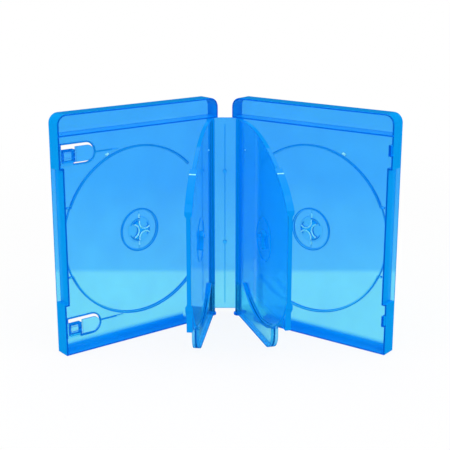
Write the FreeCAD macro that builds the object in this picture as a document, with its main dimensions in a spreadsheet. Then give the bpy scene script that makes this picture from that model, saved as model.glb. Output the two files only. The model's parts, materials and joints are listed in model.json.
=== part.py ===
import FreeCAD, Part
import os
import re

# A flip tray case for six discs, moulded in translucent plastic, standing open like a book.
# +X is to the right, +Y goes away from the viewer and +Z is up. The spine is at the back.
# Each cover and tray is drawn as the right hand one, in a frame of its own whose origin is its
# pivot at table level: x runs from the pivot to the free edge, y away from the inside, z up.
# The left hand ones are mirror images.

doc = FreeCAD.newDocument("disc_case")
sheet = doc.addObject("Spreadsheet::Sheet", "Sizes")

# Driving dimensions, in millimetres and degrees
sizes = {
    # the whole case
    "case_height": 171.5,
    "case_thickness": 25.0,     # outside of one cover to outside of the other, when shut
    "cover_width": 135.0,       # hinge line to fore edge
    "front_open": 38.0,         # each cover's angle short of lying flat
    "back_open": 37.1,
    "panel_wall": 1.2,          # the flat panels of covers and spine
    "side_wall": 1.2,           # the walls that stand on the covers' edges
    "rim_gap": 0.4,             # between the two rims when shut
    # spine and living hinges
    "spine_low": 2.8,           # spine's lower edge above the table
    "spine_drop": 1.4,          # spine's upper edge below the shelf
    "film_wall": 0.4,
    "hinge_clear": 0.4,         # cover panel to spine panel, when shut
    "spine_rib": 0.8,
    "spine_rib_rise": 1.2,
    "spine_rib_inset": 5.0,
    "gate_radius": 1.5,
    "gate_rise": 2.0,
    "gate_spread": 28.0,        # gate marks above and below mid height
    # strip along the top of each cover
    "strip_height": 14.0,
    "strip_gap": 0.3,           # hinge line to the strip's end wall
    "corner_radius": 7.0,
    # bottom wall, cut away beside the spine
    "bottom_start": 18.0,
    "bottom_round": 9.0,
    "bottom_cove": 6.0,         # hollow round between the bottom wall and the panel
    # disc well, the same on covers and trays
    "disc_reach": 65.2,         # hinge line to disc centre
    "disc_height": 78.8,
    "disc_hole": 15.0,
    "hub_fit": 0.1,
    "hub_rise": 3.2,
    "scallop_radius": 5.0,
    "scallop_reach": 6.9,
    "collar_radius": 9.6,
    "collar_rise": 0.4,
    "seat_radius": 15.9,
    "seat_wall": 1.2,
    "seat_rise": 1.4,
    "tick_width": 0.8,
    "well_radius": 61.7,
    "well_rim": 1.3,
    "well_rise": 2.0,
    "well_open": 44.0,          # the rim stops that far from the centre, on the hinge side
    "finger_reach": 56.7,       # the rim is lower past that, on the fore edge side
    "finger_drop": 1.1,
    "finger_tick": 3.2,
    # fore edge, with a finger recess at mid height
    "lip_inset": 2.8,           # fore edge to the recess's wall
    "lip_wall": 1.2,
    "lip_half": 48.0,
    "catch_width": 2.4,
    "catch_depth": 6.0,
    "catch_height": 8.0,
    "catch_spread": 61.0,
    # booklet clips on the front cover
    "clip_spread": 63.0,        # clip centres above and below the disc centre
    "clip_height": 11.0,
    "clip_inset": 7.8,          # fore edge to the clip
    "clip_length": 24.6,
    "clip_block": 9.5,
    "clip_wall": 1.0,
    "clip_slot": 2.2,           # room for the booklet under the tab
    "clip_gap": 1.6,            # tab to the edge of the window under it
    "clip_step": 2.0,           # top of the tab to top of the block
    "clip_frame": 0.7,          # raised edge round the window
    "clip_frame_rise": 0.8,
    "clip_groove": 0.8,
    "tangent_rib": 0.8,
    # pivots of the trays
    "pivot_reach": 4.0,
    "tray_spacing": 8.0,        # from one tray's floor to the other's, when shut
    "pin_radius": 1.0,
    "pin_fit": 0.1,
    "ear_low": 0.6,
    "ear_wall": 1.8,
    "ear_radius": 3.6,
    # trays
    "front_tray_turn": 6.8,     # each tray's angle from straight ahead
    "back_tray_turn": 16.6,
    "tray_gap": 0.5,            # tray to ear and to shelf
    "tray_floor": 1.2,
    "tray_rim_depth": 5.2,
    "tray_slope": 1.6,          # draft of the rim, on each face
    "tray_rim_open": 46.0,      # on the hinge side the rim stops that far below the disc centre
    "tray_cut": 53.0,           # disc centre to the straight fore edge
    "tray_hub_rise": 2.4,
    "tray_seat_rise": 0.4,
    "flange_depth": 6.0,
    "flange_wall": 1.2,
    "hinge_wall_start": 1.0,
    "foot_reach": 86.0,
    "foot_round": 12.0,
    "arch_radius": 132.6,       # the tray's top edge
    "arch_reach": 16.7,
    "arch_meet": 25.0,          # angle about the disc centre where that edge meets the rim
    "edge_bar": 1.2,
    "edge_bar_rise": 0.8,
    "rail_depth": 2.8,
    "knuckle_radius": 2.2,
    "knuckle_height": 24.0,
    "lug_width": 7.0,
    "lug_inset": 1.5,           # straight fore edge to the lug
    "lug_drop": 50.0,           # disc centre to the lug's lower end
    "lug_depth": 4.0,
}

for row, (alias, value) in enumerate(sizes.items(), start=1):
    sheet.set("A%d" % row, alias)
    sheet.set("B%d" % row, str(value))
    sheet.setAlias("B%d" % row, alias)
doc.recompute()

# Sizes that follow from the driving ones
follows = {
    "through": "1",             # how far a cutting solid passes the faces it cuts
    "cover_depth": "(case_thickness / 2 - rim_gap / 2)",
    "web_half": "(panel_wall + hinge_clear)",
    "pivot_depth": "(case_thickness / 2 - tray_spacing / 2)",
    "shelf_high": "(case_height - strip_height)",
    "shelf_low": "(case_height - strip_height - side_wall)",
    "spine_high": "(case_height - strip_height - side_wall - spine_drop)",
    "front_pivot_ahead": "(pivot_reach * sin(front_open) + pivot_depth * cos(front_open))",
    "back_face": "((front_pivot_ahead + (hub_reach + tray_cut) * cos(front_tray_turn)) / 2)",
    "hub_radius": "(disc_hole / 2 - hub_fit)",
    "rim_radius": "(well_radius + well_rim)",
    "clip_end": "(cover_width - clip_inset)",
    "clip_reach": "(cover_width - clip_inset - clip_length)",
    "hub_reach": "(disc_reach - pivot_reach)",
    "tray_low": "(ear_low + ear_wall + tray_gap)",
    "tray_high": "(case_height - strip_height - side_wall - tray_gap)",
    "hinge_wall_end": "(hinge_wall_start + flange_wall)",
}

word = re.compile(r"[a-z_]+")


def formula(text):
    """The sheet's expression for a text that names sizes."""
    def look_up(match):
        name = match.group()
        if name in follows:
            return formula(follows[name])
        return "Sizes." + name if name in sizes else name
    return word.sub(look_up, text)


def bind(piece, **places):
    for place, text in places.items():
        piece.setExpression(place.replace("__", "."), formula(text))


def block(name, x, y, z):
    """A box between the named limits, each a (low, high) pair of formulas."""
    piece = doc.addObject("Part::Box", name)
    bind(piece, Length="(%s) - (%s)" % (x[1], x[0]))
    bind(piece, Width="(%s) - (%s)" % (y[1], y[0]))
    bind(piece, Height="(%s) - (%s)" % (z[1], z[0]))
    bind(piece, Placement__Base__x=x[0], Placement__Base__y=y[0], Placement__Base__z=z[0])
    return piece


def disc(name, x, z, radius, y, far_radius=None):
    """A round solid about an axis along y, from y[0] to the lower y[1], straight or conical."""
    piece = doc.addObject("Part::Cone" if far_radius else "Part::Cylinder", name)
    piece.Placement.Rotation = FreeCAD.Rotation(FreeCAD.Vector(1, 0, 0), 90)
    if far_radius:
        bind(piece, Radius1=radius, Radius2=far_radius)
    else:
        bind(piece, Radius=radius)
    bind(piece, Height="(%s) - (%s)" % (y[0], y[1]))
    bind(piece, Placement__Base__x=x, Placement__Base__y=y[0], Placement__Base__z=z)
    return piece


def rod(name, x, y, radius, z):
    """A round solid about an upright axis."""
    piece = doc.addObject("Part::Cylinder", name)
    bind(piece, Radius=radius, Height="(%s) - (%s)" % (z[1], z[0]))
    bind(piece, Placement__Base__x=x, Placement__Base__y=y, Placement__Base__z=z[0])
    return piece


def bar(name, x, y, z, radius):
    """A round solid about a level axis along x."""
    piece = doc.addObject("Part::Cylinder", name)
    piece.Placement.Rotation = FreeCAD.Rotation(FreeCAD.Vector(0, 1, 0), 90)
    bind(piece, Radius=radius, Height="(%s) - (%s)" % (x[1], x[0]))
    bind(piece, Placement__Base__x=x[0], Placement__Base__y=y, Placement__Base__z=z)
    return piece


def join(name, pieces):
    piece = doc.addObject("Part::MultiFuse", name)
    piece.Shapes = pieces
    piece.Refine = True
    return piece


def cut(name, base, tools):
    piece = doc.addObject("Part::Cut", name)
    piece.Base = base
    piece.Tool = tools[0] if len(tools) == 1 else join(name + "_tools", tools)
    piece.Refine = True
    return piece


def overlap(name, pieces):
    piece = doc.addObject("Part::MultiCommon", name)
    piece.Shapes = pieces
    piece.Refine = True
    return piece


def ring(name, x, z, radius, wall, y):
    outer = disc(name + "_outer", x, z, "%s + %s" % (radius, wall), y)
    inner = disc(name + "_inner", x, z, radius, ("(%s) + through" % y[0], "(%s) - through" % y[1]))
    return cut(name, outer, [inner])


def star(name, x, y):
    """The push hub: a round boss with three scallops."""
    boss = disc(name + "_boss", x, "disc_height", "hub_radius", y)
    far_y = "(%s) - through" % y[1]
    scallops = []
    for number in range(3):
        angle = "(120 * %d)" % number
        across = "%s + scallop_reach * cos(%s)" % (x, angle)
        up = "disc_height + scallop_reach * sin(%s)" % angle
        label = "%s_scallop_%d" % (name, number)
        scallops.append(disc(label, across, up, "scallop_radius", (y[0], far_y)))
    return cut(name, boss, scallops)


def seat(label, piece, mirrored, x, y, turn):
    """Name a finished piece, mirror it for the left hand and put it in its place at rest."""
    sign = "-" if mirrored else ""
    if mirrored:
        source = piece
        piece = doc.addObject("Part::Mirroring", label)
        piece.Source = source
        piece.Normal = FreeCAD.Vector(1, 0, 0)
    piece.Label = label
    piece.Placement.Rotation = FreeCAD.Rotation(FreeCAD.Vector(0, 0, 1), 1)
    bind(piece, Placement__Base__x="%s(%s)" % (sign, x), Placement__Base__y=y)
    bind(piece, Placement__Rotation__Angle="%s(%s)" % (sign, turn))
    return piece


# Spine: the flat back, with a raised centre line and two gate marks inside
def spine():
    half = "(case_thickness / 2 - web_half)"
    panel = block("spine_panel", ("-" + half, half), ("-panel_wall", "0"), ("spine_low", "spine_high"))
    rib_y = ("-panel_wall - spine_rib_rise", "-panel_wall")
    rib_z = ("spine_low + spine_rib_inset", "spine_high - spine_rib_inset")
    pieces = [panel, block("spine_line", ("-spine_rib / 2", "spine_rib / 2"), rib_y, rib_z)]
    for number, sign in enumerate("+-"):
        up = "case_height / 2 %s gate_spread" % sign
        pieces.append(disc("gate_mark_%d" % number, "0", up, "gate_radius",
                           ("-panel_wall", "-panel_wall - gate_rise")))
    piece = join("spine", pieces)
    bind(piece, Placement__Base__y="back_face")
    return piece


# Living hinges: a thin film from the spine's edge round the hinge line to the cover's edge
def hinge_web(side, mirrored, opened):
    label = side + "_hinge_web"
    tall = ("spine_low", "spine_high")
    thick = ("-film_wall", "0")
    spine_half = block(label + "_spine_half", ("-web_half", "0"), thick, tall)
    cover_half = block(label + "_cover_half", ("0", "web_half"), thick, tall)
    turned = doc.addObject("Part::Compound", label + "_turned")
    turned.Links = [cover_half]
    turned.Placement.Rotation = FreeCAD.Rotation(FreeCAD.Vector(0, 0, 1), 1)
    bind(turned, Placement__Rotation__Angle="-" + opened)
    film = join(label + "_film", [spine_half, turned])
    return seat(label, film, mirrored, "case_thickness / 2", "back_face", "0")


# Strip along a cover's top: a shallow box with two rounded corners, closed below by the shelf
def top_strip(side):
    name = side + "_strip"

    def rounded(part, inset, low, y):
        left = "strip_gap + %s" % inset
        right = "cover_width - %s" % inset
        high = "case_height - %s" % inset
        radius = "(corner_radius - %s)" % inset
        flat = block(name + part + "_flat", (left, right), y, (low, "case_height - corner_radius"))
        middle = ("%s + %s" % (left, radius), "%s - %s" % (right, radius))
        crown = block(name + part + "_crown", middle, y, (low, high))
        corners = []
        for number, x in enumerate(middle):
            label = "%s%s_corner_%d" % (name, part, number)
            corners.append(disc(label, x, "case_height - corner_radius", radius, (y[1], y[0])))
        return join(name + part, [flat, crown] + corners)

    outer = rounded("_outside", "0", "shelf_low", ("-cover_depth", "0"))
    inner = rounded("_inside", "side_wall", "shelf_high", ("-cover_depth - through", "-panel_wall"))
    return cut(name, outer, [inner])


def cover_walls(side):
    name = side + "_wall"
    deep = ("-cover_depth", "0")
    panel = block(side + "_panel", ("web_half", "cover_width"), ("-panel_wall", "0"), ("0", "shelf_high"))
    # fore edge wall, set in at mid height as a finger recess, with a return wall at each end of that
    lip_z = ("case_height / 2 - lip_half", "case_height / 2 + lip_half")
    lip_x = ("cover_width - lip_inset - lip_wall", "cover_width - lip_inset")
    fore_x = ("cover_width - side_wall", "cover_width")
    turn_x = (lip_x[0], "cover_width")
    pieces = [
        panel,
        block(name + "_lip", lip_x, deep, lip_z),
        block(name + "_fore_low", fore_x, deep, ("0", lip_z[0])),
        block(name + "_fore_high", fore_x, deep, (lip_z[1], "shelf_high")),
        block(name + "_turn_low", turn_x, deep, (lip_z[0] + " - side_wall", lip_z[0])),
        block(name + "_turn_high", turn_x, deep, (lip_z[1], lip_z[1] + " + side_wall")),
    ]
    # the bottom wall starts in a rounded corner
    flat = ("0", "side_wall")
    square = "bottom_start + bottom_round"
    toe_y = ("-cover_depth + bottom_round", "0")
    turn = rod(name + "_corner_round", square, toe_y[0], "bottom_round", flat)
    span = block(name + "_corner_span", ("bottom_start", square), deep, flat)
    pieces += [
        block(name + "_bottom", (square, "cover_width"), deep, flat),
        block(name + "_toe", ("bottom_start", square), toe_y, flat),
        overlap(name + "_corner", [turn, span]),
    ]
    # a hollow round along the inside of the bottom wall
    cove_x = (square, "cover_width - side_wall / 2")
    cove_y = "-panel_wall - bottom_cove"
    cove_z = "side_wall + bottom_cove"
    filled = block(name + "_cove_filled", cove_x, (cove_y, "-panel_wall / 2"), ("side_wall / 2", cove_z))
    hollow_x = (square + " - through", "cover_width + through")
    hollow = bar(name + "_cove_hollow", hollow_x, cove_y, cove_z, "bottom_cove")
    pieces.append(cut(name + "_cove", filled, [hollow]))
    return pieces


def disc_well(side):
    name = side + "_well"
    floor = "-panel_wall"
    centre = ("disc_reach", "disc_height")
    top = "-panel_wall - well_rise"
    rim = ring(name + "_rim_whole", *centre, "well_radius", "well_rim", (floor, top))
    over = (top + " - through", "0")
    tall = ("disc_height - rim_radius - through", "disc_height + rim_radius + through")
    open_x = ("disc_reach - rim_radius - through", "disc_reach - well_open")
    hinge_side = block(name + "_open_side", open_x, over, tall)
    finger_x = ("disc_reach + finger_reach", "disc_reach + rim_radius + through")
    fingers = block(name + "_finger_side", finger_x, (over[0], top + " + finger_drop"), tall)
    rim = cut(name + "_rim", rim, [hinge_side, fingers])
    seat_ring = ring(name + "_seat", *centre, "seat_radius - seat_wall", "seat_wall",
                     (floor, "-panel_wall - seat_rise"))
    collar = disc(name + "_collar", *centre, "collar_radius", (floor, "-panel_wall - collar_rise"))
    hub = star(name + "_hub", "disc_reach", (floor, "-panel_wall - hub_rise"))
    pieces = [rim, seat_ring, collar, hub]
    tick_x = ("disc_reach - tick_width / 2", "disc_reach + tick_width / 2")
    for number, sign in enumerate("+-"):
        # each tick starts inside the collar's edge and ends in the seat ring
        ends = ["disc_height %s (collar_radius - tick_width)" % sign,
                "disc_height %s (seat_radius - seat_wall / 2)" % sign]
        low, high = ends if sign == "+" else reversed(ends)
        pieces.append(block("%s_tick_%d" % (name, number), tick_x,
                            ("-panel_wall - collar_rise", floor), (low, high)))
    # a short tick carries on the high part of the rim at each end of the low part
    finger_rise = "sqrt(well_radius * well_radius - finger_reach * finger_reach)"
    finger_x = ("disc_reach + finger_reach", "disc_reach + finger_reach + finger_tick")
    for number, sign in enumerate("+-"):
        level = "(disc_height %s (%s + well_rim * 3 / 4))" % (sign, finger_rise)
        pieces.append(block("%s_finger_tick_%d" % (name, number), finger_x, (top, floor),
                            (level + " - well_rim / 2", level + " + well_rim / 2")))
    return pieces


# Booklet clips: a block at the fore edge carries a round ended tab over a framed window in the panel
def booklet_clip(side, number, sign):
    name = "%s_clip_%d" % (side, number)
    middle = "(disc_height %s clip_spread)" % sign
    slot_y = "-panel_wall - clip_slot"
    tab_y = (slot_y + " - clip_wall", slot_y)
    half = "clip_height / 2"
    tall = ("%s - %s" % (middle, half), "%s + %s" % (middle, half))
    round_x = "clip_reach + clip_height / 2"
    post_x = ("clip_end - clip_block", "clip_end")
    post_z = (tall[0], tall[1] + " - clip_step")
    tab = block(name + "_tab", (round_x, post_x[0]), tab_y, tall)
    tip = disc(name + "_tip", round_x, middle, half, (tab_y[1], tab_y[0]))
    post = block(name + "_post", post_x, (tab_y[0], "-panel_wall"), post_z)
    # grooves: one between block and tab, two across the block
    over_y = (tab_y[0] + " - through", tab_y[0] + " + clip_wall / 2")
    over_z = (tall[0] + " - through", tall[1] + " + through")
    grooves = [block(name + "_groove", (post_x[0] + " - clip_groove", post_x[0]), over_y, over_z)]
    for step, side_sign in enumerate("+-"):
        level = "%s %s clip_height / 6" % (middle, side_sign)
        groove_z = (level + " - clip_groove / 2", level + " + clip_groove / 2")
        grooves.append(block("%s_groove_%d" % (name, step), (post_x[0], "clip_end + through"),
                             over_y, groove_z))
    clip = cut(name, join(name + "_solid", [tab, tip, post]), grooves)
    # a low rib runs from the clip to the disc rim, along the rim's tangent
    level = "disc_height %s (well_radius + well_rim / 2)" % sign
    rib = block(name + "_rib", ("disc_reach + seat_radius", "clip_reach - clip_gap - clip_frame / 2"),
                ("-panel_wall - tangent_rib", "-panel_wall"),
                (level + " - tangent_rib / 2", level + " + tangent_rib / 2"))
    # the window in the panel, under the tab and along the top of the block, with a raised edge;
    # the block is hollow from behind
    through_y = ("-panel_wall - through", "through")
    reach = half + " + clip_gap"
    window_z = (tall[0] + " - clip_gap", tall[1] + " + clip_gap")
    window = [
        block(name + "_window", (round_x, post_x[0]), through_y, window_z),
        block(name + "_window_top", (round_x, post_x[1]), through_y, (post_z[1], window_z[1])),
        disc(name + "_window_end", round_x, middle, reach, (through_y[1], through_y[0])),
        block(name + "_hollow", (post_x[0] + " + clip_wall", post_x[1] + " - clip_wall"),
              (tab_y[0] + " + clip_wall", through_y[1]),
              (post_z[0] + " + clip_wall", post_z[1] + " - clip_wall")),
    ]
    frame_y = ("-panel_wall - clip_frame_rise", "-panel_wall")
    frame_z = (window_z[0] + " - clip_frame", window_z[1] + " + clip_frame")
    frame = [
        block(name + "_frame", (round_x, post_x[1] + " + clip_frame"), frame_y, frame_z),
        disc(name + "_frame_end", round_x, middle, reach + " + clip_frame", (frame_y[1], frame_y[0])),
    ]
    return [clip, rib] + frame, window


def catches(side):
    """Small blocks inside the back cover's fore edge, which steady the shut case."""
    end = "cover_width - side_wall"
    pieces = []
    for number, sign in enumerate("+-"):
        middle = "(case_height / 2 %s catch_spread)" % sign
        pieces.append(block("%s_catch_%d" % (side, number), (end + " - catch_width", end),
                            ("-cover_depth", "-cover_depth + catch_depth"),
                            (middle + " - catch_height / 2", middle + " + catch_height / 2")))
    return pieces


def pivot_ear(side):
    """The ear near the table that holds the tray's lower pin."""
    tall = ("ear_low", "ear_low + ear_wall")
    arm_x = ("pivot_reach - ear_radius", "pivot_reach + ear_radius")
    arm = block(side + "_ear_arm", arm_x, ("-pivot_depth", "-panel_wall / 2"), tall)
    return [arm, rod(side + "_ear_eye", "pivot_reach", "-pivot_depth", "ear_radius", tall)]


# Covers: panel, walls, top strip, disc well, and the pin holes for their tray
def cover(side, mirrored, opened, clipped):
    pieces = cover_walls(side) + [top_strip(side)] + disc_well(side) + pivot_ear(side)
    hole = ("pivot_reach", "-pivot_depth", "pin_radius + pin_fit")
    holes = [rod(side + "_pin_hole_low", *hole, ("ear_low - through", "ear_low + ear_wall + through")),
             rod(side + "_pin_hole_high", *hole, ("shelf_low - through", "shelf_high + through"))]
    if clipped:
        for number, sign in enumerate("+-"):
            solids, window = booklet_clip(side, number, sign)
            pieces += solids
            holes += window
    else:
        pieces += catches(side)
    shell = cut(side + "_shell", join(side + "_solid", pieces), holes)
    return seat(side + "_cover", shell, mirrored, "case_thickness / 2", "back_face", "-" + opened)


# Trays: a round well on both faces of one floor, a hinge edge with two knuckles and pins,
# an arched top edge, and a web at the bottom with a flange and a foot
def tray(side, mirrored, opened, turned):
    name = side + "_tray"
    centre = ("hub_reach", "disc_height")
    floor = ("tray_floor / 2", "-tray_floor / 2")
    rim = ("tray_rim_depth / 2", "-tray_rim_depth / 2")
    flange = ("-flange_depth / 2", "flange_depth / 2")
    # the round well, sloped inside its rim on both faces, cut straight at its two edges
    slope_end = "well_radius - tray_slope"
    well = disc(name + "_round", *centre, "rim_radius", rim)
    hollows = [disc(name + "_outer_hollow", *centre, "well_radius", (rim[0], floor[0]), slope_end),
               disc(name + "_inner_hollow", *centre, slope_end, (floor[1], rim[1]), "well_radius")]
    all_y = (rim[1] + " - through", rim[0] + " + through")
    all_z = ("disc_height - rim_radius - through", "disc_height + rim_radius + through")
    fore_end = "hub_reach + tray_cut"
    hinge_cut_x = ("hinge_wall_start - rim_radius", "hinge_wall_start")
    hinge_cut = block(name + "_hinge_cut", hinge_cut_x, all_y, all_z)
    fore_cut = block(name + "_fore_cut", (fore_end, "hub_reach + rim_radius + through"), all_y, all_z)
    # the rim is left out beside the hinge edge and under the arched edge
    arch_x = ("hinge_wall_start", "hub_reach + rim_radius * sin(arch_meet)")
    open_z = ("disc_height - tray_rim_open", all_z[1])
    outer_open = block(name + "_outer_open", arch_x, (floor[0], all_y[1]), open_z)
    inner_open = block(name + "_inner_open", arch_x, (all_y[0], floor[1]), open_z)
    well = cut(name + "_well", well, hollows + [hinge_cut, fore_cut, outer_open, inner_open])
    bar_y = "(tray_floor / 2 + edge_bar_rise)"
    half_chord = "sqrt(well_radius * well_radius - tray_cut * tray_cut)"
    edge_bar = block(name + "_edge_bar", (fore_end + " - edge_bar", fore_end), ("-" + bar_y, bar_y),
                     ("disc_height - " + half_chord, "disc_height + " + half_chord))
    # web and rail under the arched top edge, from the hinge edge to the round well
    web_y = (floor[1], floor[0])
    arch = ("arch_reach", "tray_high - arch_radius")
    upper = ("disc_height", "tray_high + through")
    web_round = disc(name + "_web_round", *arch, "arch_radius", floor)
    web_span = block(name + "_web_span", arch_x, web_y, upper)
    web = overlap(name + "_web", [web_round, web_span])
    rail_y = ("rail_depth / 2", "-rail_depth / 2")
    rail_round = ring(name + "_rail_round", *arch, "arch_radius - flange_wall", "flange_wall", rail_y)
    rail_span = block(name + "_rail_span", arch_x, (rail_y[1], rail_y[0]), upper)
    rail = overlap(name + "_rail", [rail_round, rail_span])
    # hinge edge
    hinge_x = ("hinge_wall_start", "hinge_wall_end")
    tall = ("tray_low", "tray_high")
    hinge_edge = block(name + "_hinge_edge", hinge_x, flange, tall)
    low_z = ("tray_low", "tray_low + knuckle_height")
    high_z = ("tray_high - knuckle_height", "tray_high")
    low_pin_z = ("ear_low", "tray_low + knuckle_radius")
    high_pin_z = ("tray_high - knuckle_radius", "shelf_high")
    low_knuckle = rod(name + "_low_knuckle", "0", "0", "knuckle_radius", low_z)
    high_knuckle = rod(name + "_high_knuckle", "0", "0", "knuckle_radius", high_z)
    low_pin = rod(name + "_low_pin", "0", "0", "pin_radius", low_pin_z)
    high_pin = rod(name + "_high_pin", "0", "0", "pin_radius", high_pin_z)
    # bottom flange, which turns up into a foot, and the web between them and the round well
    foot_y = (rim[1], rim[0])
    turn_x = "foot_reach - foot_round"
    turn_z = "tray_low + foot_round"
    flange_z = ("tray_low", "tray_low + flange_wall")
    bottom = block(name + "_flange", ("hinge_wall_start", turn_x), foot_y, flange_z)
    turn_round = ring(name + "_turn_round", turn_x, turn_z, "foot_round - flange_wall", "flange_wall", rim)
    turn_span = block(name + "_turn_span", (turn_x, "foot_reach"), foot_y, ("tray_low", turn_z))
    turn = overlap(name + "_turn", [turn_round, turn_span])
    foot_x = ("foot_reach - flange_wall", "foot_reach")
    foot_ahead = "(foot_reach - hub_reach)"
    foot_top = "disc_height - sqrt(well_radius * well_radius - %s * %s)" % (foot_ahead, foot_ahead)
    foot = block(name + "_foot", foot_x, foot_y, (turn_z, foot_top))
    low_web = [
        block(name + "_low_web", ("hinge_wall_start", turn_x), web_y, ("tray_low", "disc_height")),
        block(name + "_foot_web", (turn_x, "foot_reach"), web_y, (turn_z, foot_top)),
        disc(name + "_turn_web", turn_x, turn_z, "foot_round - flange_wall / 2", floor),
    ]
    # stop lug, which carries the fore edge on below the round well
    lug_x = (fore_end + " - lug_inset - lug_width", fore_end + " - lug_inset")
    lug_square = block(name + "_lug_square", lug_x, ("-lug_depth / 2", "lug_depth / 2"),
                       ("disc_height - lug_drop", "disc_height - " + half_chord))
    lug_clear = disc(name + "_lug_clear", *centre, "well_radius + well_rim / 2", (all_y[1], all_y[0]))
    lug = cut(name + "_lug", lug_square, [lug_clear])
    # hubs and seat rings on both faces
    reach_y = "(tray_floor / 2 + tray_hub_rise)"
    hub = star(name + "_hub", "hub_reach", (reach_y, "-" + reach_y))
    seat_y = "(tray_floor / 2 + tray_seat_rise)"
    seat_span = (seat_y, "-" + seat_y)
    seat_ring = ring(name + "_seat", *centre, "seat_radius - seat_wall", "seat_wall", seat_span)
    whole = join(name + "_solid", [well, edge_bar, web, rail, hinge_edge, low_knuckle, high_knuckle,
                                   low_pin, high_pin, bottom, turn, foot, lug, hub, seat_ring] + low_web)
    pivot_x = "case_thickness / 2 + pivot_reach * cos(%s) - pivot_depth * sin(%s)" % (opened, opened)
    pivot_y = "back_face - pivot_reach * sin(%s) - pivot_depth * cos(%s)" % (opened, opened)
    return seat(name, whole, mirrored, pivot_x, pivot_y, turned + " - 90")


nodes = [
    spine(),
    hinge_web("front", True, "front_open"),
    hinge_web("back", False, "back_open"),
    cover("front", True, "front_open", True),
    cover("back", False, "back_open", False),
    tray("front", True, "front_open", "front_tray_turn"),
    tray("back", False, "back_open", "back_tray_turn"),
]
doc.recompute()

for piece in doc.Objects:
    if "Invalid" in piece.State or "Error" in piece.State:
        raise RuntimeError("failed to build: " + piece.Name)
for node in nodes:
    if node.Shape.isNull() or not node.Shape.isValid():
        raise RuntimeError("no valid solid: " + node.Label)

os.makedirs("parts", exist_ok=True)
for node in nodes:
    node.Shape.exportStep("parts/%s.step" % node.Label)
    box = node.Shape.BoundBox
    print("%-16s %d solid, %8.0f mm3, x %.1f..%.1f y %.1f..%.1f z %.1f..%.1f" % (
        node.Label, len(node.Shape.Solids), node.Shape.Volume,
        box.XMin, box.XMax, box.YMin, box.YMax, box.ZMin, box.ZMax))
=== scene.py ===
import json
import math
import bmesh
import bpy
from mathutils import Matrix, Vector


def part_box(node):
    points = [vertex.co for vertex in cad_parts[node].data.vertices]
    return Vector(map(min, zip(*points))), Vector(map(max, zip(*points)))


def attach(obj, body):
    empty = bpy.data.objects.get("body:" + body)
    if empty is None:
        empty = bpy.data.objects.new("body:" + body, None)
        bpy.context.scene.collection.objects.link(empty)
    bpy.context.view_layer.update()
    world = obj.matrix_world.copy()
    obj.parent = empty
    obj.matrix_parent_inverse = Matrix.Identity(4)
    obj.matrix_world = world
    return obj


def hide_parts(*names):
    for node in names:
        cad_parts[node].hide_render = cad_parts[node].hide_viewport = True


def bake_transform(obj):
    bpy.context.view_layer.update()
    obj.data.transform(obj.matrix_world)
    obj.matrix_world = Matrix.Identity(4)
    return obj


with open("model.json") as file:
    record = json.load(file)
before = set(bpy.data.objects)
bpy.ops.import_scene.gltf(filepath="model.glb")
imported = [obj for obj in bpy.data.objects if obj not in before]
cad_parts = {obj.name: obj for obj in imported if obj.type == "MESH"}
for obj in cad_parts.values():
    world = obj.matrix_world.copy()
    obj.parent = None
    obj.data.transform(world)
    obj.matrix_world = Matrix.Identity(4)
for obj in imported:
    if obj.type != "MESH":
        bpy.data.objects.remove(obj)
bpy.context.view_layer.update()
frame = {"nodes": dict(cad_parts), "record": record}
scene = bpy.context.scene
scene.view_settings.view_transform = "Standard"
print("frame loaded:", ", ".join(sorted(frame["nodes"])))

mm = 0.001
sides = ("front", "back")
smoothStep = {"interpolation_type": "SMOOTHSTEP"}
colourMix = {"data_type": "RGBA"}                    # its colours are inputs 6 and 7 and output 2


def linear(hexColour):                               # sRGB hex to linear RGBA
    parts = [int(hexColour[i:i + 2], 16) / 255 for i in (1, 3, 5)]
    return [p / 12.92 if p <= 0.04045 else ((p + 0.055) / 1.055) ** 2.4 for p in parts] + [1.0]


def add(tree, kind, at, settings=None, values=None, **links):
    # one node: its settings, its plain input values, and what is plugged into its inputs by name or number
    node = tree.nodes.new(kind)
    node.location = at
    for name, value in (settings or {}).items():
        setattr(node, name, value)
    for socket, value in (values or {}).items():
        node.inputs[socket].default_value = value
    for socket, source in links.items():
        key = int(socket[2:]) if socket.startswith("in") else socket.replace("_", " ")
        tree.links.new(node.inputs[key], source)
    return node


def newMaterial(name):
    material = bpy.data.materials.new(name)
    material.use_nodes = True
    material.node_tree.nodes.clear()
    return material, material.node_tree


def putInScene(name, data):
    item = bpy.data.objects.new(name, data)
    scene.collection.objects.link(item)
    return item


# Translucent polypropylene, injection moulded against polished steel: glossy and clear where a wall is thin,
# deep blue where the look runs along it, with faint clouds in the pigment and a slight orange peel
shellPlastic = {
    "haze": "#0a94fa",
    "hazeFlat": 0.16,                                # share of haze where a wall is looked at squarely
    "hazeEdge": 0.95,                                # and where the look runs along it, through more resin
    "flatUntil": 0.45,
    "edgeFrom": 0.90,
    "clear": "#b8fdff",
    "deep": "#00f0ff",
    "density": 600.0,
    "ior": 1.49,
    "polish": (0.03, 0.07),                          # roughness where the pigment is thin and thick
    "shine": "#5aa8ff",
    "cloud": 22 * mm,
    "cloudDetail": 3.0,
    "cloudRange": (0.3, 0.7),                        # noise where the pigment is thin and thick
    "cloudShare": 0.02,
    "peel": 2.5 * mm,                                # real orange peel is finer, drawn as coarse as shows
    "peelDetail": 1.0,
    "peelDepth": 0.001 * mm,
    "thinBelow": (22 * mm, 34 * mm),                 # heights between which a lower web thickens
    "thinShare": 1.0,                                # its share of the haze under them
    "broadAxis": "Y",                                # the way that the large faces look
    "broadFrom": (0.62, 0.74),
    "narrow": "#059ef2",                             # the wall's edge faces, which show the resin's depth
    "narrowHaze": 0.75,
    "glow": 0.0,                                     # painted glow: edge faces give off light of their own where they lie in shade
}
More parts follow.
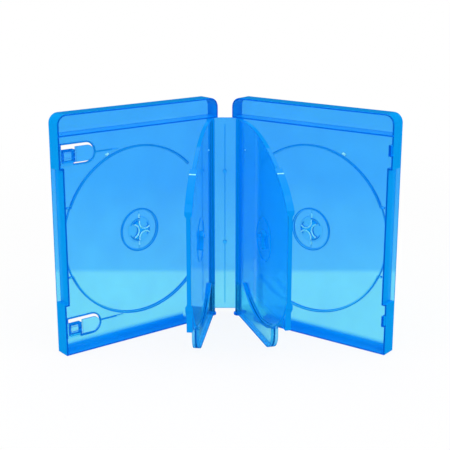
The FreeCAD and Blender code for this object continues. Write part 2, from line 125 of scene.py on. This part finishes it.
trayPlastic = {                                      # the same resin, seen nearly edge on
    **shellPlastic,
    "haze": "#04a8ff",
    "hazeFlat": 0.45,
    "flatUntil": 0.80,
    "edgeFrom": 0.98,
    "density": 300.0,
    "thinShare": 0.2,
    "broadAxis": "X",
    "broadFrom": (0.55, 0.85),
    "narrow": "#0870c0",
    "narrowHaze": 0.9,
    "glow": 0.34,
}


def mouldedPolypropylene(name, look):
    material, tree = newMaterial(name)
    place = add(tree, "ShaderNodeTexCoord", (-1300, 0))
    # clouds in the pigment change the polish and the haze a little, the orange peel bends the gloss
    thinPigment, thickPigment = look["cloudRange"]
    cloud = add(tree, "ShaderNodeTexNoise", (-1100, 200), values={
        "Scale": 1 / look["cloud"], "Detail": look["cloudDetail"]}, Vector=place.outputs["Object"])
    polish = add(tree, "ShaderNodeMapRange", (-800, 0), values={
        "From Min": thinPigment, "From Max": thickPigment,
        "To Min": look["polish"][0], "To Max": look["polish"][1]}, Value=cloud.outputs["Fac"])
    patch = add(tree, "ShaderNodeMapRange", (-800, 200), values={
        "From Min": thinPigment, "From Max": thickPigment,
        "To Min": -look["cloudShare"], "To Max": look["cloudShare"]}, Value=cloud.outputs["Fac"])
    peel = add(tree, "ShaderNodeTexNoise", (-1100, -200), values={
        "Scale": 1 / look["peel"], "Detail": look["peelDetail"]}, Vector=place.outputs["Object"])
    bump = add(tree, "ShaderNodeBump", (-800, -200), values={"Distance": look["peelDepth"]},
               Height=peel.outputs["Fac"])
    # share of haze: more along a wall and on its edge faces, less in a thin lower web
    facing = add(tree, "ShaderNodeLayerWeight", (-1000, 500))
    along = add(tree, "ShaderNodeMapRange", (-800, 500), smoothStep, {
        "From Min": look["flatUntil"], "From Max": look["edgeFrom"],
        "To Min": look["hazeFlat"], "To Max": look["hazeEdge"]}, Value=facing.outputs["Facing"])
    axes = add(tree, "ShaderNodeSeparateXYZ", (-1000, 700), Vector=place.outputs["Object"])
    thin = add(tree, "ShaderNodeMapRange", (-800, 700), smoothStep, {
        "From Min": look["thinBelow"][0], "From Max": look["thinBelow"][1],
        "To Min": look["thinShare"]}, Value=axes.outputs["Z"])
    turned = add(tree, "ShaderNodeSeparateXYZ", (-1200, 900), Vector=place.outputs["Normal"])
    broad = add(tree, "ShaderNodeMath", (-1000, 900), {"operation": "ABSOLUTE"},
                in0=turned.outputs[look["broadAxis"]])
    narrow = add(tree, "ShaderNodeMapRange", (-800, 900), smoothStep, {
        "From Min": look["broadFrom"][0], "From Max": look["broadFrom"][1],
        "To Min": 1.0, "To Max": 0.0}, Value=broad.outputs[0])
    walls = add(tree, "ShaderNodeMath", (-600, 600), {"operation": "MULTIPLY_ADD"}, {1: look["narrowHaze"]},
                in0=narrow.outputs[0], in2=along.outputs[0])
    share = add(tree, "ShaderNodeMath", (-300, 500), {"operation": "MULTIPLY_ADD", "use_clamp": True},
                in0=walls.outputs[0], in1=thin.outputs[0], in2=patch.outputs[0])
    # hazy and clear resin
    tone = add(tree, "ShaderNodeMix", (-700, -100), colourMix, {
        6: linear(look["haze"]), 7: linear(look["narrow"])}, in0=narrow.outputs[0])
    gloss = {"IOR": look["ior"], "Specular Tint": linear(look["shine"])}
    haze = add(tree, "ShaderNodeBsdfPrincipled", (-300, 0), values={
        "Emission Color": linear(look["haze"]), **gloss},
        Base_Color=tone.outputs[2], Roughness=polish.outputs[0], Normal=bump.outputs[0])
    # painted glow: emission in the haze colour on the edge faces, which brightens them where they lie in
    # shade
    if look["glow"]:
        glow = add(tree, "ShaderNodeMath", (-500, 250), {"operation": "MULTIPLY"}, {1: look["glow"]},
                   in0=narrow.outputs[0])
        tree.links.new(haze.inputs["Emission Strength"], glow.outputs[0])
    clear = add(tree, "ShaderNodeBsdfPrincipled", (-300, -400), values={
        "Base Color": linear(look["clear"]), "Transmission Weight": 1.0, **gloss},
        Roughness=polish.outputs[0], Normal=bump.outputs[0])
    surface = add(tree, "ShaderNodeMixShader", (0, 0), in0=share.outputs[0],
                  in1=clear.outputs[0], in2=haze.outputs[0])
    # lamps shine through a wall and tint what is behind it
    tint = add(tree, "ShaderNodeBsdfTransparent", (0, -400), values={"Color": linear(look["clear"])})
    path = add(tree, "ShaderNodeLightPath", (0, 300))
    mix = add(tree, "ShaderNodeMixShader", (300, 0), in0=path.outputs["Is Shadow Ray"],
              in1=surface.outputs[0], in2=tint.outputs[0])
    inside = add(tree, "ShaderNodeVolumeAbsorption", (300, -300), values={
        "Color": linear(look["deep"]), "Density": look["density"]})
    add(tree, "ShaderNodeOutputMaterial", (600, 0), Surface=mix.outputs[0], Volume=inside.outputs[0])
    return material


finishes = {
    "shell": mouldedPolypropylene("polypropyleneMouldedShell", shellPlastic),
    "tray": mouldedPolypropylene("polypropyleneMouldedTray", trayPlastic),
}
for name, node in frame["nodes"].items():
    node.data.materials.clear()
    node.data.materials.append(finishes["tray" if name.endswith("tray") else "shell"])
print("plastic on", len(frame["nodes"]), "nodes")


# Mouldings: the solids again with the small radius that a mould tool leaves on every edge
mouldings = {
    "spineMoulding": {"node": "spine", "slot": "shell"},
    "frontCoverMoulding": {"node": "front_cover", "slot": "shell"},
    "backCoverMoulding": {"node": "back_cover", "slot": "shell"},
    "frontTrayMoulding": {"node": "front_tray", "slot": "tray"},
    "backTrayMoulding": {"node": "back_tray", "slot": "tray"},
}
edges = {
    "radius": 0.25 * mm,
    "segments": 3,
    "weld": 0.002 * mm,
    "flat": 0.5,                                     # degrees up to which faces are joined
    "sharp": 25.0,                                   # degrees from which an edge is rounded
    "faceWeight": 100,                               # how far the large faces lead the shading
    "faceSpread": 0.01,
}


def roundedMoulding(name, moulding):
    node = moulding["node"]
    mesh = frame["nodes"][node].data.copy()
    mesh.name = name
    work = bmesh.new()
    work.from_mesh(mesh)
    bmesh.ops.remove_doubles(work, verts=work.verts, dist=edges["weld"])
    bmesh.ops.dissolve_limit(work, angle_limit=math.radians(edges["flat"]),
                             verts=work.verts, edges=work.edges)
    work.to_mesh(mesh)
    work.free()
    mesh.shade_smooth()
    piece = putInScene(name, mesh)
    bevel = piece.modifiers.new("mouldRadius", "BEVEL")
    bevel.width = edges["radius"]
    bevel.segments = edges["segments"]
    bevel.limit_method = "ANGLE"
    bevel.angle_limit = math.radians(edges["sharp"])
    bevel.use_clamp_overlap = False
    level = piece.modifiers.new("flatFaces", "WEIGHTED_NORMAL")      # the large faces stay flat to the eye
    level.weight = edges["faceWeight"]
    level.thresh = edges["faceSpread"]
    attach(piece, node)
    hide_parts(node)


for name, moulding in mouldings.items():
    roundedMoulding(name, moulding)
print("rounded", len(mouldings), "mouldings")


# Living hinges: one thin film from the spine's edge round the hinge line to each cover's edge
film = {"wall": 0.4 * mm, "reach": 1.6 * mm, "steps": 14}


def hingeFilm(name, joint, node):
    record = next(j for j in frame["record"]["behaviour"]["joints"] if j["name"] == joint)
    x, y, _ = record["pos_m"]
    side = math.copysign(1, x)
    opened = math.radians(-record["range_deg"][0])
    low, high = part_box(node)
    line = Vector((x, y))
    along = Vector((side * math.cos(opened), -math.sin(opened)))
    start = line - Vector((side, 0)) * film["reach"]
    end = line + along * film["reach"]
    outside, inside = [], []
    for step in range(film["steps"] + 1):            # a smooth bend round the hinge line
        t = step / film["steps"]
        point = start * (1 - t) ** 2 + line * 2 * t * (1 - t) + end * t ** 2
        way = ((line - start) * (1 - t) + (end - line) * t).normalized()
        outside.append(point)
        inside.append(point + Vector((way.y, -way.x)) * side * film["wall"])
    ring = outside + inside[::-1]
    count = len(ring)
    verts = [(p.x, p.y, z) for z in (low.z, high.z) for p in ring]
    faces = [(i, (i + 1) % count, count + (i + 1) % count, count + i) for i in range(count)]
    faces += [tuple(range(count)), tuple(range(count, 2 * count))]
    mesh = bpy.data.meshes.new(name)
    mesh.from_pydata(verts, [], faces)
    work = bmesh.new()
    work.from_mesh(mesh)
    bmesh.ops.recalc_face_normals(work, faces=work.faces)
    work.to_mesh(mesh)
    work.free()
    mesh.materials.append(finishes["shell"])
    piece = putInScene(name, mesh)
    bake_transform(piece)
    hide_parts(node)


for side in sides:
    hingeFilm(side + "HingeFilm", side + "_cover_hinge", side + "_hinge_web")
print("hinge films bent")


# Moulded polypropylene for the dark lines along rings and ribs: partly the deeper colour of stacked resin,
# partly painted shade where the ridges' walls and the hub's arms darken the line
ribResinAndShade = {**shellPlastic, "haze": "#1aa6f4", "narrow": "#0f96e0", "hazeFlat": 0.9}

# Painted highlights and glints: a pale, dull polypropylene drawn where light catches the hub's arms, its
# ticks, a rim and the trays;
# its pale and bent tones are two shades of the highlight, mixed at random
paintedHighlight = {"pale": "#b8ffff", "bent": "#8cfaff", "patch": 1.5 * mm, "patchRange": (0.35, 0.6), "dull": 0.5}


def paintedHighlightMaterial():
    material, tree = newMaterial("polypropyleneStressWhitened")
    place = add(tree, "ShaderNodeTexCoord", (-800, 0))
    patch = add(tree, "ShaderNodeTexNoise", (-600, 0), values={"Scale": 1 / paintedHighlight["patch"]},
                Vector=place.outputs["Object"])
    tone = add(tree, "ShaderNodeValToRGB", (-400, 0), Fac=patch.outputs["Fac"])
    colours = (paintedHighlight["bent"], paintedHighlight["pale"])
    for stop, at, colour in zip(tone.color_ramp.elements, paintedHighlight["patchRange"], colours):
        stop.position = at
        stop.color = linear(colour)
    skin = add(tree, "ShaderNodeBsdfPrincipled", (-100, 0), values={
        "Roughness": paintedHighlight["dull"], "Specular Tint": linear(shellPlastic["shine"])},
        Base_Color=tone.outputs[0])
    add(tree, "ShaderNodeOutputMaterial", (200, 0), Surface=skin.outputs[0])
    return material


# Beads: each line is a size against the bead, then its points as fore, up and out
beads = {"radius": 0.45 * mm, "points": 60}


def arc(fore, up, out, radius, middle, sweep):       # degrees, sweep to each side of the middle
    turns = [math.radians(middle + sweep * (2 * step / (beads["points"] - 1) - 1))
             for step in range(beads["points"])]
    return [(fore + radius * math.cos(turn), up + radius * math.sin(turn), out) for turn in turns]


def addBeads(name, body, place, material, lines):
    centre, foreWay, outWay = place
    data = bpy.data.curves.new(name, "CURVE")
    data.dimensions = "3D"
    data.bevel_depth = beads["radius"]
    data.use_fill_caps = True
    for size, points in lines:
        line = data.splines.new("POLY")
        line.points.add(len(points) - 1)
        for point, (fore, up, out) in zip(line.points, points):
            spot = centre + foreWay * fore + outWay * out + Vector((0, 0, up))
            point.co = (*spot, 1.0)
            point.radius = size
    data.materials.append(material)
    piece = putInScene(name, data)
    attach(piece, body)


# Cover lines, from the top of the hub: painted highlights on its scallops and ticks and a painted glint
# beside the rim, and dark lines on its collar, seat ring and rim that are partly painted shade
wellLines = {
    "arms": (0, 120, 240),                           # degrees, a scallop at each and a collar between two
    "collarTurn": 60,
    "paleSize": 1.25,
    "scallopRadius": 5.0 * mm,
    "scallopReach": 6.9 * mm,
    "scallopSweep": 74.0,
    "collar": 8.2 * mm,
    "collarSweep": 34.0,
    "tick": (8.6 * mm, 11.8 * mm),
    "sunk": 2.8 * mm,                                # collar and ticks below the hub's top
    "seat": 15.7 * mm,
    "seatSunk": 1.8 * mm,
    "rim": 62.7 * mm,
    "rimEnds": (24.5, 134.5),                        # degrees from the fore edge: low part, open end
    "rimSunk": 1.2 * mm,
    "lowSunk": 2.3 * mm,
    "rimSize": {"front": 1.2, "back": 0.85},
    "glint": (64.5 * mm, 66.5, 1.1),                 # a painted glint beside the rim: radius, angle and half its sweep
    "glintSize": 2.0,
    "glintSunk": 2.8 * mm,
}


def coverLines(side):
    look = wellLines
    rimSize = look["rimSize"][side]
    pale, dark = [], []
    for turn in look["arms"]:
        fore = look["scallopReach"] * math.cos(math.radians(turn))
        up = look["scallopReach"] * math.sin(math.radians(turn))
        scallop = arc(fore, up, 0.0, look["scallopRadius"], turn + 180, look["scallopSweep"])
        collar = arc(0.0, 0.0, -look["sunk"], look["collar"], turn + look["collarTurn"], look["collarSweep"])
        pale.append((look["paleSize"], scallop))
        dark.append((1.0, collar))
    for sign in (1, -1):
        pale.append((look["paleSize"], [(0.0, sign * end, -look["sunk"]) for end in look["tick"]]))
    radius, middle, sweep = look["glint"]
    pale.append((look["glintSize"], arc(0.0, 0.0, -look["glintSunk"], radius, middle, sweep)))
    lowEnd, openEnd = look["rimEnds"]
    middle, sweep = (openEnd + lowEnd) / 2, (openEnd - lowEnd) / 2
    for sign in (1, -1):
        dark.append((rimSize, arc(0.0, 0.0, -look["rimSunk"], look["rim"], sign * middle, sweep)))
    dark.append((rimSize, arc(0.0, 0.0, -look["lowSunk"], look["rim"], 0.0, lowEnd)))
    dark.append((rimSize, arc(0.0, 0.0, -look["seatSunk"], look["seat"], 0.0, 180.0)))
    return pale, dark


# Clip lines, from the top of the hub: the frame round each clip's window and the rib from there to the rim,
# drawn dark, partly as painted shade
clipWindow = {
    "up": 63.0 * mm,                                 # above and below the hub
    "round": (42.9 * mm, 7.45 * mm),                 # hub to the centre of the round end, its radius
    "ends": (62.0 * mm, 52.5 * mm),                  # hub to the ends of the upper and lower edge
    "rib": (22.0 * mm, 35.4 * mm, 62.35 * mm),       # its two ends and its height
    "sunk": 2.4 * mm,
    "size": 1.2,
}


def clipLines():
    look = clipWindow
    out = -look["sunk"]
    fore, radius = look["round"]
    upperEnd, lowerEnd = look["ends"]
    start, end, ribUp = look["rib"]
    lines = []
    for sign in (1, -1):
        middle = sign * look["up"]
        outline = [(upperEnd, middle + radius, out)]
        outline += arc(fore, middle, out, radius, 180.0, 90.0)
        outline += [(lowerEnd, middle - radius, out)]
        rib = [(start, sign * ribUp, out), (end, sign * ribUp, out)]
        lines += [(look["size"], outline), (look["size"], rib)]
    return lines


# Painted glints on the trays, from the tray's pivot: a dash across the rim and a dot near the hinge
trayGlints = {
    "dash": (93.1 * mm, 133.2 * mm, 2.3 * mm),       # reach, height, half length
    "dot": (17.5 * mm, 135.0 * mm, 0.6 * mm),        # reach, height, out from mid floor
}


def trayGlintLines():
    reach, up, half = trayGlints["dash"]
    dash = [(reach, up, -half), (reach, up, half)]
    reach, up, out = trayGlints["dot"]
    dot = [(reach, up - beads["radius"], out), (reach, up + beads["radius"], out)]
    return [(1.0, dash), (1.0, dot)]


def hubPlace(side):                                  # hub's top, way to the fore edge, way out of the panel
    hub = next(m for m in frame["record"]["mounts"] if m["name"] == side + "_cover_hub")
    centre, out = Vector(hub["pos_m"]), Vector(hub["axis"])
    return centre, Vector((math.copysign(abs(out.y), centre.x), -abs(out.x), 0)), out


def trayPlace(side):                                 # pivot, way to the fore edge, way to the case's middle
    motion = frame["record"]["behaviour"]
    joints = {j["name"]: j for j in motion["joints"]}
    ratio = next(c["ratio"] for c in motion["couplings"] if c["joint"] == side + "_tray_hinge")
    turn = math.radians(joints[side + "_cover_hinge"]["range_deg"][1] * (1 + ratio))
    pivot = Vector(joints[side + "_tray_hinge"]["pos_m"])
    hand = math.copysign(1, pivot.x)
    fore = Vector((hand * math.sin(turn), -math.cos(turn), 0))
    return pivot, fore, Vector((-hand * math.cos(turn), -math.sin(turn), 0))


highlightPlastic = paintedHighlightMaterial()
ribResinAndShadePlastic = mouldedPolypropylene("polypropyleneMouldedThick", ribResinAndShade)
for side in sides:
    highlightLines, ribAndShadeLines = coverLines(side)
    if side == "front":                              # only this cover has clips
        ribAndShadeLines += clipLines()
    # painted highlights, drawn as pale beads
    addBeads(side + "PaintedHighlights", side + "_cover", hubPlace(side), highlightPlastic, highlightLines)
    # dark beads: deeper resin along the ribs, and partly painted shade
    addBeads(side + "RibAndShadeLines", side + "_cover", hubPlace(side), ribResinAndShadePlastic, ribAndShadeLines)
    # painted glints, drawn on the trays
    addBeads(side + "TrayMarks", side + "_tray", trayPlace(side), highlightPlastic, trayGlintLines())
print("lines of covers and trays drawn")


# Stage: matt studio paper that the camera sees as white with a soft shadow, and that, where it is seen
# through
# the plastic, has painted shade: darker and bluer behind the case, and a painted blue shadow under the walls
stage = {
    "floorHalf": 3.0,
    "floorDrop": 0.3 * mm,
    "paper": "#f4f4f4",
    "white": "#ffffff",
    "shadowShare": 0.10,                             # how much of the cast shadow stays in the white
    "shadowReach": (0.25, 0.8),                      # and how far from the case
    # painted fall-off of the light: the floor that the plastic shows turns darker and bluer farther behind
    "behind": [(0, "#ffffff"), (159, "#ffffff"), (171, "#bfdcff"), (527, "#94c4ff")],    # mm behind, colour
    "mirrored": "#1f5f9f",
    "spill": "#49aaf0",                              # painted blue shadow under the walls, seen through the plastic
    "spillReach": 25 * mm,
    "spillRange": (0.45, 0.8),                       # how open the floor is where it starts and ends to fade
    "spillSamples": 12,
}


def paleFloor():
    half = stage["floorHalf"]
    mesh = bpy.data.meshes.new("studioFloor")
    corners = [(-half, -half), (half, -half), (half, half), (-half, half)]
    mesh.from_pydata([(x, y, -stage["floorDrop"]) for x, y in corners], [], [(0, 1, 2, 3)])
    floor = putInScene("studioFloor", mesh)
    material, tree = newMaterial("paleStudioPaper")
    place = add(tree, "ShaderNodeNewGeometry", (-1100, 0))
    # what the plastic shows of the floor: white near, then darker and bluer far behind, a painted fall-off
    # of the light, and a painted blue shadow close under the walls
    reach = stage["behind"][-1][0]
    axes = add(tree, "ShaderNodeSeparateXYZ", (-900, 0), Vector=place.outputs["Position"])
    share = add(tree, "ShaderNodeMapRange", (-700, 0), values={"From Max": reach * mm},
                Value=axes.outputs["Y"])
    seen = add(tree, "ShaderNodeValToRGB", (-500, 0), Fac=share.outputs[0])
    stops = seen.color_ramp.elements
    for at, colour in stage["behind"][1:-1]:
        stops.new(at / reach).color = linear(colour)
    stops[0].color = linear(stage["behind"][0][1])
    stops[-1].color = linear(stage["behind"][-1][1])
    # painted shadow: ambient occlusion turns the floor that the plastic shows blue close under the walls
    near = add(tree, "ShaderNodeAmbientOcclusion", (-900, -300), {"samples": stage["spillSamples"]},
               {"Distance": stage["spillReach"]})
    away = add(tree, "ShaderNodeMapRange", (-700, -300), smoothStep, {
        "From Min": stage["spillRange"][0], "From Max": stage["spillRange"][1]}, Value=near.outputs["AO"])
    spill = add(tree, "ShaderNodeMix", (-500, -300), colourMix, {
        6: linear(stage["spill"]), 7: linear(stage["white"])}, in0=away.outputs[0])
    under = add(tree, "ShaderNodeMix", (-300, -100), {**colourMix, "blend_type": "MULTIPLY"}, {0: 1.0},
                in6=seen.outputs[0], in7=spill.outputs[2])
    behind = add(tree, "ShaderNodeEmission", (-200, 0), Color=under.outputs[2])
    # what the camera sees: white, with a part of the lit paper and its shadow near the case
    white = add(tree, "ShaderNodeEmission", (-200, 150), values={"Color": linear(stage["white"])})
    lit = add(tree, "ShaderNodeBsdfDiffuse", (-200, -150), values={"Color": linear(stage["paper"])})
    far = add(tree, "ShaderNodeVectorMath", (-700, 400), {"operation": "LENGTH"},
              in0=place.outputs["Position"])
    shade = add(tree, "ShaderNodeMapRange", (-500, 250), smoothStep, {
        "From Min": stage["shadowReach"][0], "From Max": stage["shadowReach"][1],
        "To Min": stage["shadowShare"], "To Max": 0.0}, Value=far.outputs["Value"])
    shown = add(tree, "ShaderNodeMixShader", (0, 150), in0=shade.outputs[0],
                in1=white.outputs[0], in2=lit.outputs[0])
    # which ray gets which, transmission after gloss because a ray through plastic is glossy too
    path = add(tree, "ShaderNodeLightPath", (-500, 400))
    mirrored = add(tree, "ShaderNodeEmission", (-200, -300), values={"Color": linear(stage["mirrored"])})
    gloss = add(tree, "ShaderNodeMixShader", (0, 0), in0=path.outputs["Is Glossy Ray"],
                in1=lit.outputs[0], in2=mirrored.outputs[0])
    through = add(tree, "ShaderNodeMixShader", (200, 0), in0=path.outputs["Is Transmission Ray"],
                  in1=gloss.outputs[0], in2=behind.outputs[0])
    cut = add(tree, "ShaderNodeMixShader", (400, 0), in0=path.outputs["Is Camera Ray"],
              in1=through.outputs[0], in2=shown.outputs[0])
    add(tree, "ShaderNodeOutputMaterial", (600, 0), Surface=cut.outputs[0])
    mesh.materials.append(material)


paleFloor()
print("floor laid")


# World: soft light from all round, white to the camera, the pale backdrop seen through the plastic
air = {"light": "#ffffff", "lightStrength": 0.5, "white": "#ffffff", "backdrop": "#94c4ff", "room": "#1f5f9f"}


def softWorld():
    world = bpy.data.worlds.new("studioAir")
    world.use_nodes = True
    tree = world.node_tree
    tree.nodes.clear()
    path = add(tree, "ShaderNodeLightPath", (-300, 300))
    light = add(tree, "ShaderNodeBackground", (0, 0), values={
        "Color": linear(air["light"]), "Strength": air["lightStrength"]})
    backdrop = add(tree, "ShaderNodeBackground", (0, -120), values={"Color": linear(air["backdrop"])})
    room = add(tree, "ShaderNodeBackground", (0, -240), values={"Color": linear(air["room"])})
    white = add(tree, "ShaderNodeBackground", (0, -360), values={"Color": linear(air["white"])})
    mirrored = add(tree, "ShaderNodeMixShader", (200, 0), in0=path.outputs["Is Glossy Ray"],
                   in1=light.outputs[0], in2=room.outputs[0])
    through = add(tree, "ShaderNodeMixShader", (400, 0), in0=path.outputs["Is Transmission Ray"],
                  in1=mirrored.outputs[0], in2=backdrop.outputs[0])
    cut = add(tree, "ShaderNodeMixShader", (600, 0), in0=path.outputs["Is Camera Ray"],
              in1=through.outputs[0], in2=white.outputs[0])
    add(tree, "ShaderNodeOutputWorld", (800, 0), Surface=cut.outputs[0])
    scene.world = world


softWorld()


# Lamps: two softboxes above the camera's sides and one overhead
lamps = {
    "leftSoftbox": {"at": (-0.9, -0.7, 0.9), "size": 1.4, "watts": 8.0},
    "rightSoftbox": {"at": (0.9, -0.7, 0.9), "size": 1.4, "watts": 8.0},
    "topSoftbox": {"at": (0.0, 0.1, 1.3), "size": 1.4, "watts": 5.0},
}
lampAim = Vector((0, 0, 80 * mm))                    # the middle of the case


def addLamps():
    for name, lamp in lamps.items():
        data = bpy.data.lights.new(name, "AREA")
        data.size = lamp["size"]
        data.energy = lamp["watts"]
        item = putInScene(name, data)
        item.location = lamp["at"]
        item.rotation_euler = (lampAim - item.location).to_track_quat("-Z", "Y").to_euler()


addLamps()
print("world and", len(lamps), "lamps lit")


# Camera: fitted to the corners and rims of the case in the 450 pixel photo
view = {
    "sensor": 36.0,                                  # mm
    "focalPixels": 1023.8,
    "framePixels": 450,
    "pitch": 15.37,
    "fromSpine": 765.65 * mm,                        # in front of its back face
    "height": 281.14 * mm,
    "across": 0.1 * mm,
}


def addCamera():
    data = bpy.data.cameras.new("photoCamera")
    data.sensor_width = view["sensor"]
    data.lens = view["focalPixels"] * view["sensor"] / view["framePixels"]
    camera = putInScene("photoCamera", data)
    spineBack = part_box("spine")[1].y
    camera.location = (view["across"], spineBack - view["fromSpine"], view["height"])
    camera.rotation_euler = (math.radians(90 - view["pitch"]), 0, 0)
    scene.camera = camera


addCamera()
print("camera placed")
